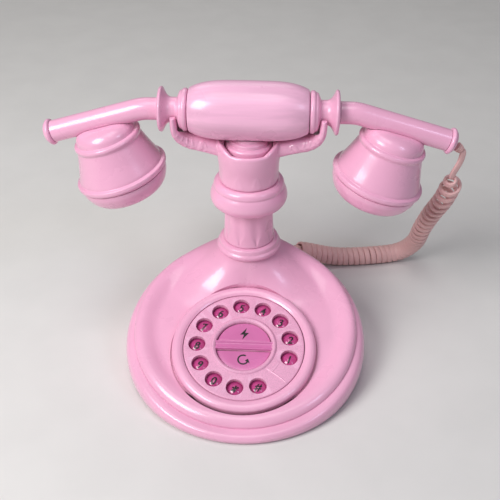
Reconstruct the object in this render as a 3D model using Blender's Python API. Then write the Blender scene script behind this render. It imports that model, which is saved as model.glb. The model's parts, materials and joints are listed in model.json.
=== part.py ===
"""Compact bedroom princess-style telephone.

Tilted dish base with a push-button dial, turned column, forked cradle, barrel-grip handset and
a coiled handset cord.  Metres, Z up, origin on the floor under the middle of the foot circle.
"""
import math

import bmesh
import bpy
from mathutils import Matrix, Vector

MM = 0.001

# ---- driving dimensions, millimetres -------------------------------------------------------
TILT = math.radians(16.1)          # dish and dial plane against the floor, back edge higher
PLANE_Z = 26.4                     # step-ring plane height over the origin
STEP_R = 71.0                      # step ring between dish and skirt
FOOT_R = 75.0                      # skirt at the floor
SOLE_Z = 1.5                       # underside of the plastic, standing on the rubber feet
WALL = 2.2
GAP = 0.3                          # clearance between touching pieces

COLUMN_Y = 48.0
NECK_R = 18.6
NECK_Z = 57.0

DIAL_BACK = -17.0                  # dial centre along the tilted plane
DIAL_LIFT = 4.4                    # dial plane over the step-ring plane
BEZEL_R = 45.1
DISC_R = 37.8
KEY_RING_R = 29.4
KEY_HOLE_R = 5.4
HUB_R = 20.1
WINDOW_R = 17.8
BAR_HALF = 2.9
KEY_FIRST = math.radians(-14.9)
KEY_STEP = math.radians(27.7)
KEY_NAMES = ("1", "2", "3", "4", "5", "6", "7", "8", "9", "0", "star", "hash")

GRIP_Z = 154.6                     # handset axis height
GRIP_R = 17.8
GRIP_END_R = 12.9
GRIP_HALF = 36.0
NECK_ROD_R = 7.3
FLARE_R = 13.6
TUBE_R = 6.7
TUBE_BORE = 4.6
TUBE_BEND_X = 64.0
TUBE_END_X = 119.7
TUBE_SLOPE = math.radians(16.5)
CUP_X = 90.6
CUP_TILT = TUBE_SLOPE              # cups stand square to the sloping tubes

CORD_OD = 13.5                     # outside of the curl
LEAD_R = 1.5

PI = math.pi
TAU = 2.0 * math.pi

DIAL_FRAME = (
    Matrix.Translation((0.0, 0.0, PLANE_Z))
    @ Matrix.Rotation(TILT, 4, "X")
    @ Matrix.Translation((0.0, DIAL_BACK, DIAL_LIFT))
)
STEP_FRAME = Matrix.Translation((0.0, 0.0, PLANE_Z)) @ Matrix.Rotation(TILT, 4, "X")


# ---- materials -----------------------------------------------------------------------------
def material(name, colour, roughness, metallic):
    mat = bpy.data.materials.new(name)
    mat.use_nodes = True
    shader = mat.node_tree.nodes["Principled BSDF"]
    shader.inputs["Base Color"].default_value = (colour[0], colour[1], colour[2], 1.0)
    shader.inputs["Roughness"].default_value = roughness
    shader.inputs["Metallic"].default_value = metallic
    return mat


def pink(name, roughness=0.3):
    return material(name + "_pink_abs", (0.84, 0.36, 0.53), roughness, 0.0)


def key_pink(name):
    return material(name + "_deep_pink_abs", (0.72, 0.16, 0.40), 0.25, 0.0)


def white_plastic(name):
    return material(name + "_nylon", (0.80, 0.79, 0.76), 0.5, 0.0)


def black_plastic(name):
    return material(name + "_black_plastic", (0.03, 0.03, 0.03), 0.5, 0.0)


def steel(name):
    return material(name + "_steel", (0.60, 0.60, 0.62), 0.35, 1.0)


def cord_pink(name):
    return material(name + "_cord_pvc", (0.70, 0.40, 0.42), 0.45, 0.0)


# ---- mesh building blocks ------------------------------------------------------------------
def add_object(name, bm, mat, frame=None, smooth=True, helper=False):
    """Store a millimetre mesh as a named object standing in `frame` (also millimetres)."""
    bmesh.ops.recalc_face_normals(bm, faces=bm.faces)
    bmesh.ops.scale(bm, vec=(MM, MM, MM), verts=bm.verts)
    mesh = bpy.data.meshes.new(name)
    bm.to_mesh(mesh)
    bm.free()
    obj = bpy.data.objects.new(name, mesh)
    bpy.context.scene.collection.objects.link(obj)
    if frame is not None:
        placed = frame.copy()
        placed.translation = placed.translation * MM
        obj.matrix_world = placed
    if mat is not None:
        mesh.materials.append(mat)
    if smooth:
        mesh.shade_smooth()
        mesh.set_sharp_from_angle(angle=math.radians(38.0))
    if helper:
        obj.hide_render = True
        obj.display_type = "WIRE"
    return obj


def ring_mesh(rings, closed_loop):
    """Skin rings of points; a ring of one point closes an end, closed_loop joins last to first."""
    bm = bmesh.new()
    levels = []
    for ring in rings:
        levels.append([bm.verts.new(p) for p in ring])
    pairs = list(zip(levels[:-1], levels[1:]))
    if closed_loop:
        pairs.append((levels[-1], levels[0]))
    for low, high in pairs:
        count = max(len(low), len(high))
        for i in range(count):
            j = (i + 1) % count
            if len(low) == 1:
                bm.faces.new((low[0], high[i], high[j]))
            elif len(high) == 1:
                bm.faces.new((low[i], low[j], high[0]))
            else:
                bm.faces.new((low[i], low[j], high[j], high[i]))
    if not closed_loop:
        for end in (levels[0], levels[-1]):
            if len(end) > 2:
                bm.faces.new(end)
    return bm


def circle(radius, z, segments, centre=(0.0, 0.0)):
    if radius <= 0.0:
        return [(centre[0], centre[1], z)]
    return [
        (centre[0] + radius * math.cos(TAU * i / segments),
         centre[1] + radius * math.sin(TAU * i / segments), z)
        for i in range(segments)
    ]


def turned(name, profile, mat, frame=None, segments=20, helper=False):
    """Turned piece about local Z from (radius, height) points; no axis point means a bored ring."""
    bored = profile[0][0] > 0.0
    rings = [circle(r, z, segments) for r, z in profile]
    return add_object(name, ring_mesh(rings, bored), mat, frame, helper=helper)


def prism(name, outline, z0, z1, mat, frame=None, helper=False):
    """Straight prism of an outline in local XY."""
    rings = [[(x, y, z) for x, y in outline] for z in (z0, z1)]
    return add_object(name, ring_mesh(rings, False), mat, frame, smooth=False, helper=helper)


def block(name, low, high, mat, frame=None, helper=False):
    outline = [(low[0], low[1]), (high[0], low[1]), (high[0], high[1]), (low[0], high[1])]
    return prism(name, outline, low[2], high[2], mat, frame, helper)


def combine(target, other, operation):
    """Cut or join with a hidden helper piece."""
    mod = target.modifiers.new(other.name, "BOOLEAN")
    mod.operation = operation
    mod.solver = "EXACT"
    mod.object = other


def cut_round(target, label, radius, z0, z1, frame, segments=24):
    tool = turned(label, [(0.0, z0), (radius, z0), (radius, z1), (0.0, z1)], None, frame,
                  segments, helper=True)
    combine(target, tool, "DIFFERENCE")


def cut_box(target, label, low, high, frame=None):
    combine(target, block(label, low, high, None, frame, helper=True), "DIFFERENCE")


def at(x, y, z=0.0):
    return Matrix.Translation((x, y, z))


# ---- base ----------------------------------------------------------------------------------
def shoulder_height(inward):
    """Rolled shoulder inside the step ring, falling to the shallow dish."""
    crest, roll, fall, dish = 3.8, 4.5, 11.5, 0.5
    if inward <= 0.0:
        return 0.0
    if inward < roll:
        return crest * math.sqrt(1.0 - (1.0 - inward / roll) ** 2)
    if inward < roll + fall:
        return dish + (crest - dish) * 0.5 * (1.0 + math.cos(PI * (inward - roll) / fall))
    return dish


def dish_point(t, angle, shrink, drop):
    """Upper surface from the column neck (t=0) out to the step ring (t=1)."""
    radius = NECK_R + (STEP_R - NECK_R) * t
    flatten = 1.0 - t * (1.0 - math.cos(TILT))
    x = radius * math.cos(angle)
    y = COLUMN_Y * (1.0 - t) + radius * flatten * math.sin(angle)
    inward = STEP_R - math.hypot(x, y / math.cos(TILT))
    plane = PLANE_Z + y * math.tan(TILT)
    back = 0.5 * (1.0 + math.sin(angle))
    reach = 0.10 + 0.90 * back ** 0.8
    hollow = 2.2 - 1.2 * back ** 4
    rise = (1.0 - t / reach) ** hollow if t < reach else 0.0
    z = plane + shoulder_height(inward) * (1.0 - rise) + (NECK_Z - plane) * rise
    scale = (radius - shrink) / radius
    px = radius * scale * math.cos(angle)
    py = COLUMN_Y * (1.0 - t) + radius * scale * flatten * math.sin(angle)
    return (px, py, z - drop)


# fractions of the way from the neck to the step ring, closest where the surface turns
OUTER_LEVELS = (0.0, 0.012, 0.03, 0.06, 0.1, 0.17, 0.27, 0.4, 0.55, 0.7, 0.8, 0.87, 0.915,
                0.945, 0.97, 0.99, 1.0)
INNER_LEVELS = (0.0, 0.03, 0.1, 0.27, 0.55, 0.8, 0.915, 1.0)
DISH_SEGMENTS = 32


def step_circle(radius, w, segments):
    pts = []
    for i in range(segments):
        a = TAU * i / segments
        p = STEP_FRAME @ Vector((radius * math.cos(a), radius * math.sin(a), w))
        pts.append(tuple(p))
    return pts


def dish_solid(name, levels, shrink, drop, tail, mat, helper):
    segments = DISH_SEGMENTS
    rings = []
    for t in levels:
        ring = []
        for i in range(segments):
            ring.append(dish_point(t, TAU * i / segments, shrink, drop))
        rings.append(ring)
    for radius, w in tail:
        rings.append(step_circle(radius, w, segments))
    return add_object(name, ring_mesh(rings, False), mat, helper=helper)


BOSS_SPOTS = ((-56.0, 8.0, 28.4), (56.0, 8.0, 28.4), (0.0, 60.2, 56.0))


def base_shell():
    shell = dish_solid("base_shell", OUTER_LEVELS, 0.0, 0.0, [(70.6, -2.6)], pink("shell"), False)
    hollow = dish_solid("shell_hollow", INNER_LEVELS, WALL, WALL, [(68.4, -14.0)], None, True)
    combine(shell, hollow, "DIFFERENCE")
    for n, (x, y, top) in enumerate(BOSS_SPOTS):
        low = SOLE_Z + 1.6 + GAP
        boss = turned(f"boss_{n}", [(0.0, low), (3.5, low), (3.5, top), (0.0, top)], None,
                      at(x, y), 12, helper=True)
        combine(shell, boss, "UNION")
        cut_round(shell, f"boss_hole_{n}", 1.7, 0.0, 16.0, at(x, y), 10)
    cut_round(shell, "bezel_seat", 46.5, -5.0, 40.0, DIAL_FRAME, 32)
    cut_round(shell, "dial_opening", 43.0, -20.0, 30.0, DIAL_FRAME, 32)
    cut_round(shell, "neck_opening", 5.0, 40.0, 70.0, at(0.0, COLUMN_Y), 16)


def base_skirt():
    """Rolled skirt from the tilted step ring down to the level foot."""
    segments = DISH_SEGMENTS
    columns = []
    for i in range(segments):
        a = TAU * i / segments
        out = Vector((math.cos(a), math.sin(a), 0.0))
        top = STEP_FRAME @ Vector((71.1 * out.x, 71.1 * out.y, -0.3))
        lap = STEP_FRAME @ Vector((71.0 * out.x, 71.0 * out.y, -3.2))
        foot = Vector((FOOT_R * out.x, FOOT_R * out.y, SOLE_Z))
        loop = [tuple(top)]
        for u in (0.04, 0.1, 0.2, 0.35, 0.55, 0.8):
            p = top.lerp(foot, u) + out * (4.2 * math.sin(PI * u ** 0.6))
            p.z += 0.7 * math.sin(PI * min(1.0, 2.5 * u))
            loop.append(tuple(p))
        loop.append(tuple(foot))
        back = 0.5 * (1.0 + out.y)
        wall_r = 69.2 + 3.0 * back
        loop.append((68.0 * out.x, 68.0 * out.y, SOLE_Z))
        loop.append((68.0 * out.x, 68.0 * out.y, SOLE_Z + 1.5))
        loop.append((wall_r * out.x, wall_r * out.y, SOLE_Z + 1.8))
        loop.append(tuple(lap))
        columns.append(loop)
    rings = [[columns[i][k] for i in range(segments)] for k in range(len(columns[0]))]
    skirt = add_object("base_skirt", ring_mesh(rings, True), pink("skirt"))
    for side, label in ((1.0, "handset"), (-1.0, "line")):
        cut_box(skirt, label + "_jack_window", (side * 14.0 - 6.35, 55.0, 13.65),
                (side * 14.0 + 6.35, 90.0, 26.35))


def bottom_plate():
    top = SOLE_Z + 1.6
    plate = turned("bottom_plate", [(0.0, SOLE_Z), (67.6, SOLE_Z), (67.6, top), (0.0, top)],
                   pink("plate", 0.5), segments=DISH_SEGMENTS)
    for n, (x, y, _) in enumerate(BOSS_SPOTS):
        cut_round(plate, f"plate_hole_{n}", 1.8, 0.0, 10.0, at(x, y), 12)
        cut_round(plate, f"plate_sink_{n}", 3.6, 0.0, SOLE_Z + 0.8, at(x, y), 16)


def plate_screw(number, spot):
    seat = SOLE_Z + 0.4
    profile = [(0.0, seat - 0.2), (3.0, seat - 0.2), (3.0, seat + 0.1), (1.4, seat + 0.4),
               (1.4, 14.0), (0.0, 15.0)]
    turned(f"plate_screw_{number}", profile, steel(f"screw_{number}"), at(spot[0], spot[1]), 12)


def rubber_foot(number, angle):
    profile = [(0.0, 0.0), (5.4, 0.0), (6.0, 0.5), (6.0, SOLE_Z - GAP), (0.0, SOLE_Z - GAP)]
    turned(f"rubber_foot_{number}", profile, black_plastic(f"foot_{number}"),
           at(56.0 * math.cos(angle), 56.0 * math.sin(angle)), 16)


def ballast_plate():
    block("ballast_plate", (-30.0, 22.0, 3.5), (30.0, 46.0, 10.0), steel("ballast"))


def ringer_buzzer():
    profile = [(0.0, 3.5), (11.0, 3.5), (11.0, 9.5), (9.5, 10.5), (2.0, 10.5), (2.0, 8.0), (0.0, 8.0)]
    turned("ringer_buzzer", profile, black_plastic("ringer"), at(-46.0, 28.0), 20)


def jack(name, x):
    """Modular socket open to the back."""
    body = block(name, (x - 6.0, 59.0, 14.0), (x + 6.0, 74.8, 26.0), black_plastic(name))
    cut_box(body, name + "_socket", (x - 4.0, 63.0, 17.0), (x + 4.0, 90.0, 23.4))


# ---- dial ----------------------------------------------------------------------------------
def dial_bezel():
    profile = [(38.2, -0.2), (39.4, 0.7), (41.6, 1.3), (43.6, 0.8), (44.8, -0.3), (BEZEL_R, -1.6),
               (BEZEL_R, -4.7), (42.6, -4.7), (42.6, -9.0), (40.4, -9.0), (40.4, -3.4), (38.2, -3.4)]
    turned("dial_bezel", profile, pink("bezel"), DIAL_FRAME, 32)


def half_moon(radius, inset, sign, arc_points=10):
    """Half disc outline on one side of the hub bar."""
    start = math.asin(inset / radius)
    pts = []
    for i in range(arc_points + 1):
        a = start + (PI - 2.0 * start) * i / arc_points
        pts.append((radius * math.cos(a), sign * radius * math.sin(a)))
    return pts


def key_frame(index):
    a = KEY_FIRST + KEY_STEP * index
    return DIAL_FRAME @ at(KEY_RING_R * math.cos(a), KEY_RING_R * math.sin(a))


def number_disc():
    profile = [(0.0, -2.8), (DISC_R, -2.8), (DISC_R, -0.4), (DISC_R - 0.6, 0.1), (HUB_R + 0.5, 0.1),
               (HUB_R, 0.9), (HUB_R - 0.8, 1.3), (WINDOW_R + 0.4, 0.9), (WINDOW_R - 1.5, -0.3),
               (0.0, -0.3)]
    disc = turned("number_disc", profile, pink("disc", 0.42), DIAL_FRAME, 32)
    bar = block("hub_bar", (-WINDOW_R - 0.6, -BAR_HALF, -1.5), (WINDOW_R + 0.6, BAR_HALF, 1.0), None,
                DIAL_FRAME, helper=True)
    combine(disc, bar, "UNION")
    for index in range(len(KEY_NAMES)):
        cut_round(disc, f"key_hole_{index}", KEY_HOLE_R, -6.0, 6.0, key_frame(index), 12)
    for sign, label in ((1.0, "upper"), (-1.0, "lower")):
        window = prism(label + "_window", half_moon(WINDOW_R - 0.2, BAR_HALF, sign), -6.0, 6.0,
                       None, DIAL_FRAME, helper=True)
        combine(disc, window, "DIFFERENCE")


def dial_key(index):
    name = "key_" + KEY_NAMES[index]
    radius = KEY_HOLE_R - 0.4
    profile = [(0.0, -4.9), (6.1, -4.9), (6.1, -3.3), (radius, -3.2), (radius, -1.9),
               (radius - 1.2, -1.1), (0.0, -0.6)]
    turned(name, profile, key_pink(name), key_frame(index), 12)


def function_key(name, sign):
    flange = half_moon(WINDOW_R + 0.8, BAR_HALF - 2.0, sign)
    outline = half_moon(WINDOW_R - 0.6, BAR_HALF + 0.4, sign)
    inner = half_moon(WINDOW_R - 1.8, BAR_HALF + 1.6, sign)
    levels = ((-4.9, flange), (-3.3, flange), (-3.2, outline), (-1.0, outline), (-0.2, inner))
    rings = [[(x, y, z) for x, y in pts] for z, pts in levels]
    add_object(name, ring_mesh(rings, False), key_pink(name), DIAL_FRAME)


def keypad_mat():
    profile = [(0.0, -7.6), (37.0, -7.6), (37.0, -6.4), (0.0, -6.4)]
    turned("keypad_mat", profile, white_plastic("mat"), DIAL_FRAME, 24)


def main_board():
    profile = [(0.0, -9.6), (38.0, -9.6), (38.0, -8.0), (0.0, -8.0)]
    mat = material("board_fr4", (0.05, 0.22, 0.10), 0.45, 0.0)
    turned("main_board", profile, mat, DIAL_FRAME, 24)


# ---- column --------------------------------------------------------------------------------
def base_collar():
    profile = [(7.0, 57.3), (20.3, 57.3), (21.0, 58.4), (20.9, 60.2), (19.7, 61.2), (19.5, 62.4),
               (19.2, 63.8), (17.6, 64.6), (7.0, 64.6)]
    turned("base_collar", profile, pink("collar"), at(0.0, COLUMN_Y))


def column_lower():
    profile = [(7.0, 64.9), (16.6, 64.9), (16.2, 70.0), (15.8, 78.0), (15.5, 90.2), (7.0, 90.2)]
    turned("column_lower", profile, pink("lower"), at(0.0, COLUMN_Y))


def column_bulge():
    profile = [(3.0, 90.5), (17.0, 90.5), (20.6, 91.0), (23.4, 93.0), (24.7, 96.2), (24.4, 99.4),
               (23.2, 102.2), (22.2, 103.8), (22.5, 105.2), (21.8, 107.2), (19.8, 108.6),
               (13.0, 108.6), (13.0, 93.0), (3.0, 93.0)]
    turned("column_bulge", profile, pink("bulge"), at(0.0, COLUMN_Y))


def column_cup():
    profile = [(4.6, 108.9), (18.9, 108.9), (18.5, 112.0), (18.6, 116.0), (19.3, 120.0),
               (19.9, 123.4), (15.4, 123.4), (15.4, 112.0), (4.6, 112.0)]
    turned("column_cup", profile, pink("cup"), at(0.0, COLUMN_Y))


# arm middle line out from the cup and up to the fork: x, z, half depth, half thickness
ARM_LINE = ((15.8, 131.0, 8.6, 4.6), (22.0, 132.3, 7.8, 4.4), (29.0, 134.2, 7.3, 4.2),
            (35.5, 135.8, 7.8, 4.4), (40.2, 138.6, 9.4, 3.9), (43.2, 143.0, 11.4, 3.2),
            (44.4, 148.0, 12.0, 2.6), (44.8, 153.6, 11.6, 2.2))
ARM_SIDES = 14
FORK_CLEAR_X = 42.4                # inside this the handset's ring beads need room


def arm_rings(side):
    """Oval sections square to the arm's middle line."""
    rings = []
    for i, (x, z, half_y, half) in enumerate(ARM_LINE):
        ahead = ARM_LINE[min(i + 1, len(ARM_LINE) - 1)]
        behind = ARM_LINE[max(i - 1, 0)]
        along = Vector((ahead[0] - behind[0], 0.0, ahead[1] - behind[1])).normalized()
        if i == 0:
            along = Vector((1.0, 0.0, 0.0))
        up = Vector((-along.z, 0.0, along.x))
        ring = []
        for k in range(ARM_SIDES):
            a = TAU * k / ARM_SIDES
            p = Vector((x, COLUMN_Y + half_y * math.cos(a), z)) + up * (half * math.sin(a))
            ring.append((side * p.x, p.y, p.z))
        rings.append(ring)
    return rings


def cradle():
    """Rim of the column cup with two arms that turn up into open forks under the handset necks."""
    profile = [(15.4, 123.7), (19.9, 123.7), (20.1, 126.0), (20.0, 130.4), (19.2, 132.0),
               (17.6, 132.6), (15.9, 132.0), (15.4, 130.8)]
    body = turned("cradle", profile, pink("cradle"), at(0.0, COLUMN_Y))
    for side, label in ((-1.0, "left"), (1.0, "right")):
        arm = add_object(label + "_arm", ring_mesh(arm_rings(side), False), None, helper=True)
        combine(body, arm, "UNION")
    room, saddle = 13.3, NECK_ROD_R + 0.35
    profile = [(0.0, -60.0), (saddle, -60.0), (saddle, -FORK_CLEAR_X), (room, -FORK_CLEAR_X),
               (room, FORK_CLEAR_X), (saddle, FORK_CLEAR_X), (saddle, 60.0), (0.0, 60.0)]
    tool = turned("saddle_cut", profile, None, handset_frame(1.0), 24, helper=True)
    combine(body, tool, "DIFFERENCE")


def hook_plunger():
    """Stepped button under the barrel, its top hollowed to the barrel's curve."""
    profile = [(0.0, 110.4), (3.2, 110.4), (4.0, 111.2), (4.0, 128.6), (11.0, 129.2),
               (14.6, 129.6), (14.6, 132.8), (13.6, 133.8), (12.2, 134.2), (12.0, 136.4),
               (10.0, 137.2), (9.6, 139.2), (0.0, 139.4)]
    plunger = turned("hook_plunger", profile, pink("plunger"), at(0.0, COLUMN_Y))
    cut_round(plunger, "barrel_rest", GRIP_R + 0.4, -30.0, 30.0, handset_frame(1.0), 48)


def plunger_spring():
    """Compression spring round the plunger stem."""
    turns, per_turn, sides = 4.0, 9, 4
    low, high, coil_r, wire_r = 113.1, 127.6, 6.4, 0.6
    count = int(turns * per_turn)
    rings = []
    for i in range(count + 1):
        a = TAU * i / per_turn
        centre = Vector((coil_r * math.cos(a), coil_r * math.sin(a), low + (high - low) * i / count))
        out = Vector((math.cos(a), math.sin(a), 0.0))
        ring = []
        for k in range(sides):
            b = TAU * k / sides
            lift = Vector((0.0, 0.0, wire_r * math.sin(b)))
            ring.append(tuple(centre + out * (wire_r * math.cos(b)) + lift))
        rings.append(ring)
    add_object("plunger_spring", ring_mesh(rings, False), steel("spring"), at(0.0, COLUMN_Y))


def hook_switch():
    block("hook_switch", (-6.0, COLUMN_Y - 5.0, 98.0), (6.0, COLUMN_Y + 5.0, 107.6),
          black_plastic("hook_switch"))


def column_bolt():
    profile = [(0.0, 50.6), (6.5, 50.6), (6.5, 54.4), (2.2, 54.4), (2.2, 94.0), (0.0, 95.0)]
    turned("column_bolt", profile, steel("bolt"), at(0.0, COLUMN_Y), 12)


# ---- handset -------------------------------------------------------------------------------
def handset_frame(side):
    """Local Z runs outward along the handset axis."""
    return at(0.0, COLUMN_Y, GRIP_Z) @ Matrix.Rotation(side * PI / 2.0, 4, "Y")


def barrel_radius(x):
    """Full in the middle, falling quickly near the ends."""
    return GRIP_R - (GRIP_R - GRIP_END_R) * abs(x / GRIP_HALF) ** 4.2


def grip_barrel():
    steps, edge, bore = 12, 0.8, 3.6
    profile = [(bore, -GRIP_HALF), (GRIP_END_R - 1.2, -GRIP_HALF), (GRIP_END_R, edge - GRIP_HALF)]
    for i in range(1, steps):
        x = GRIP_HALF * (2.0 * i / steps - 1.0)
        profile.append((barrel_radius(x), x))
    profile += [(GRIP_END_R, GRIP_HALF - edge), (GRIP_END_R - 1.2, GRIP_HALF), (bore, GRIP_HALF)]
    turned("grip_barrel", profile, pink("barrel", 0.22), handset_frame(1.0), 24)


def neck_flare(name, side):
    """Ring bead beside the barrel, neck in the fork, and the trumpet-shaped flare."""
    profile = [(3.6, 36.3), (12.0, 36.3), (12.8, 37.2), (12.8, 38.8), (11.8, 40.0), (10.8, 41.2),
               (NECK_ROD_R, 42.0), (NECK_ROD_R, 46.8), (8.4, 48.8), (11.0, 50.4), (13.2, 51.3),
               (FLARE_R, 52.2), (13.0, 53.4), (8.0, 54.2), (3.6, 54.2)]
    turned(name, profile, pink(name), handset_frame(side), 16)


def handset_rod():
    profile = [(0.0, -60.0), (3.2, -60.0), (3.2, 60.0), (0.0, 60.0)]
    turned("handset_rod", profile, steel("rod"), handset_frame(1.0), 12)


def tube_axis(side):
    """Axis points of a tube arm from the flare out to the end cap."""
    pts = [(54.5, 0.0), (TUBE_BEND_X - 4.0, 0.0)]
    for i in range(1, 5):
        k = i / 5.0
        pts.append((TUBE_BEND_X - 4.0 + 8.0 * k, -4.0 * math.tan(TUBE_SLOPE) * k * k))
    drop = math.tan(TUBE_SLOPE)
    for x in (TUBE_BEND_X + 4.0, CUP_X, TUBE_END_X):
        pts.append((x, -(x - TUBE_BEND_X) * drop))
    return [Vector((side * x, COLUMN_Y, GRIP_Z + z)) for x, z in pts]


def sweep_rings(points, radius, segments):
    rings = []
    for i, p in enumerate(points):
        ahead = points[min(i + 1, len(points) - 1)]
        behind = points[max(i - 1, 0)]
        along = (ahead - behind).normalized()
        across = Vector((0.0, 1.0, 0.0))
        up = along.cross(across).normalized()
        rings.append([tuple(p + across * (radius * math.cos(TAU * k / segments))
                            + up * (radius * math.sin(TAU * k / segments)))
                      for k in range(segments)])
    return rings


def tube_arm(name, side):
    points = tube_axis(side)
    outer = sweep_rings(points, TUBE_R, 14)
    inner = sweep_rings(points, TUBE_BORE, 14)
    add_object(name, ring_mesh(outer + inner[::-1], True), pink(name))


def end_frame(side):
    """Local Z runs outward along the sloping tube from its end."""
    drop = (TUBE_END_X - TUBE_BEND_X) * math.tan(TUBE_SLOPE)
    tip = at(side * TUBE_END_X, COLUMN_Y, GRIP_Z - drop)
    return tip @ Matrix.Rotation(side * (PI / 2.0 + TUBE_SLOPE), 4, "Y")


def end_cap(name, side):
    profile = [(0.0, 0.3), (7.0, 0.3), (7.8, 0.9), (8.1, 1.9), (7.7, 2.9), (6.9, 3.3), (6.6, 4.0),
               (5.2, 4.9), (0.0, 5.2)]
    turned(name, profile, pink(name), end_frame(side), 16)


def cup_frame(side):
    """Local Z runs down the cup axis from the tube axis."""
    drop = (CUP_X - TUBE_BEND_X) * math.tan(TUBE_SLOPE)
    top = at(side * CUP_X, COLUMN_Y, GRIP_Z - drop)
    return top @ Matrix.Rotation(PI + side * CUP_TILT, 4, "Y")


def cup_bell(name, side):
    profile = [(0.0, 2.6), (11.0, 2.6), (16.0, 4.2), (18.6, 7.6), (19.0, 10.8), (20.8, 11.2),
               (21.4, 12.4), (20.6, 14.2), (21.2, 17.0), (23.8, 25.0), (27.0, 33.4), (29.2, 35.6),
               (29.2, 37.6), (27.8, 39.2), (25.6, 39.2), (24.4, 33.6), (21.4, 24.8),
               (18.4, 16.4), (16.0, 13.4), (0.0, 13.0)]
    bell = turned(name, profile, pink(name), cup_frame(side), 20)
    rings = sweep_rings(tube_axis(side), TUBE_R + GAP, 14)
    tool = add_object(name + "_saddle", ring_mesh(rings, False), None, helper=True)
    combine(bell, tool, "DIFFERENCE")


def cup_cap(name, side):
    profile = [(1.4, 49.6), (18.0, 49.6), (20.4, 51.0), (22.6, 50.8), (25.4, 47.8), (27.6, 42.6),
               (27.8, 39.5), (25.4, 39.5), (24.6, 44.0), (21.6, 47.8), (1.4, 47.8)]
    cap = turned(name, profile, pink(name), cup_frame(side), 20)
    for n in range(6):
        a = TAU * (n + 0.3) / 6.0
        x, y = 7.0 * math.cos(a), 7.0 * math.sin(a)
        cut_round(cap, f"{name}_hole_{n}", 1.4, 40.0, 60.0, cup_frame(side) @ at(x, y), 6)


def receiver_speaker():
    profile = [(0.0, 40.4), (9.0, 40.4), (9.0, 43.4), (15.5, 44.4), (15.5, 47.2), (0.0, 47.2)]
    turned("receiver_speaker", profile, black_plastic("speaker"), cup_frame(-1.0), 20)


def microphone_capsule():
    profile = [(0.0, 42.6), (4.8, 42.6), (4.8, 47.3), (0.0, 47.3)]
    turned("microphone_capsule", profile, steel("microphone"), cup_frame(1.0), 16)


# ---- handset cord --------------------------------------------------------------------------
LEAD_TOP_ROUTE = ((129.4, 48.0, 131.05), (130.6, 48.0, 129.6), (130.5, 48.4, 123.0), (127.8, 49.2, 113.0))
CURL_ROUTE = ((127.8, 51.6, 107.4), (126.6, 62.0, 88.0), (123.6, 77.6, 65.6), (122.0, 93.2, 43.2),
              (120.6, 106.4, 21.2), (110.0, 111.4, 8.2), (87.0, 107.0, 7.1), (63.0, 104.4, 7.6),
              (41.4, 102.4, 12.6), (32.6, 100.2, 15.6))
LEAD_BASE_ROUTE = ((29.4, 99.2, 16.8), (18.6, 93.6, 19.8), (14.0, 85.0, 20.2), (14.0, 79.6, 20.2))
GROMMET_START = (125.8, 48.0, 134.0)
GROMMET_END = (128.9, 48.0, 131.5)


def smooth_route(route, per_span):
    """Catmull-Rom curve through the hand-chosen route points."""
    pts = [Vector(p) for p in route]
    pts = [2.0 * pts[0] - pts[1]] + pts + [2.0 * pts[-1] - pts[-2]]
    out = []
    for a, b, c, d in zip(pts, pts[1:], pts[2:], pts[3:]):
        for k in range(per_span):
            t = k / per_span
            out.append(0.5 * (2.0 * b + (c - a) * t + (2.0 * a - 5.0 * b + 4.0 * c - d) * t ** 2
                              + (3.0 * b - a - 3.0 * c + d) * t ** 3))
    out.append(pts[-2])
    return out


def cord_piece(name, route, radius, resolution, per_span):
    curve = bpy.data.curves.new(name, "CURVE")
    curve.dimensions = "3D"
    curve.bevel_depth = radius * MM
    curve.bevel_resolution = resolution
    curve.use_fill_caps = True
    spline = curve.splines.new("POLY")
    points = smooth_route(route, per_span)
    spline.points.add(len(points) - 1)
    for slot, p in zip(spline.points, points):
        slot.co = (p[0] * MM, p[1] * MM, p[2] * MM, 1.0)
    curve.materials.append(cord_pink(name))
    obj = bpy.data.objects.new(name, curve)
    bpy.context.scene.collection.objects.link(obj)


def cord_grommet():
    start, end = Vector(GROMMET_START), Vector(GROMMET_END)
    along = end - start
    frame = Matrix.Translation(start) @ along.to_track_quat("Z", "Y").to_matrix().to_4x4()
    length = along.length
    profile = [(0.0, 0.0), (2.9, 0.0), (2.9, 0.8), (2.3, 1.4), (1.9, length), (0.0, length)]
    turned("cord_grommet", profile, cord_pink("grommet"), frame, 14)


def cord_plug():
    block("cord_plug", (10.4, 63.6, 17.4), (17.6, 79.2, 23.0),
          material("plug_clear", (0.75, 0.73, 0.70), 0.2, 0.0))


# ---- assembly ------------------------------------------------------------------------------
def clear_scene():
    for obj in list(bpy.data.objects):
        bpy.data.objects.remove(obj, do_unlink=True)


def build_base():
    base_shell()
    base_skirt()
    bottom_plate()
    for number, spot in enumerate(BOSS_SPOTS, 1):
        plate_screw(number, spot)
    for number in range(1, 5):
        rubber_foot(number, PI / 4.0 + PI / 2.0 * number)
    ballast_plate()
    ringer_buzzer()
    jack("handset_jack", 14.0)
    jack("line_jack", -14.0)


def build_dial():
    dial_bezel()
    number_disc()
    for index in range(len(KEY_NAMES)):
        dial_key(index)
    function_key("flash_key", 1.0)
    function_key("redial_key", -1.0)
    keypad_mat()
    main_board()


def build_column():
    base_collar()
    column_lower()
    column_bulge()
    column_cup()
    cradle()
    hook_plunger()
    plunger_spring()
    hook_switch()
    column_bolt()


def build_handset():
    grip_barrel()
    handset_rod()
    for side, label in ((-1.0, "left"), (1.0, "right")):
        neck_flare("neck_" + label, side)
        tube_arm("tube_" + label, side)
        end_cap("end_cap_" + label, side)
        cup_bell("cup_" + label, side)
    cup_cap("earpiece_cap", -1.0)
    cup_cap("mouthpiece_cap", 1.0)
    receiver_speaker()
    microphone_capsule()
    cord_grommet()


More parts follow.
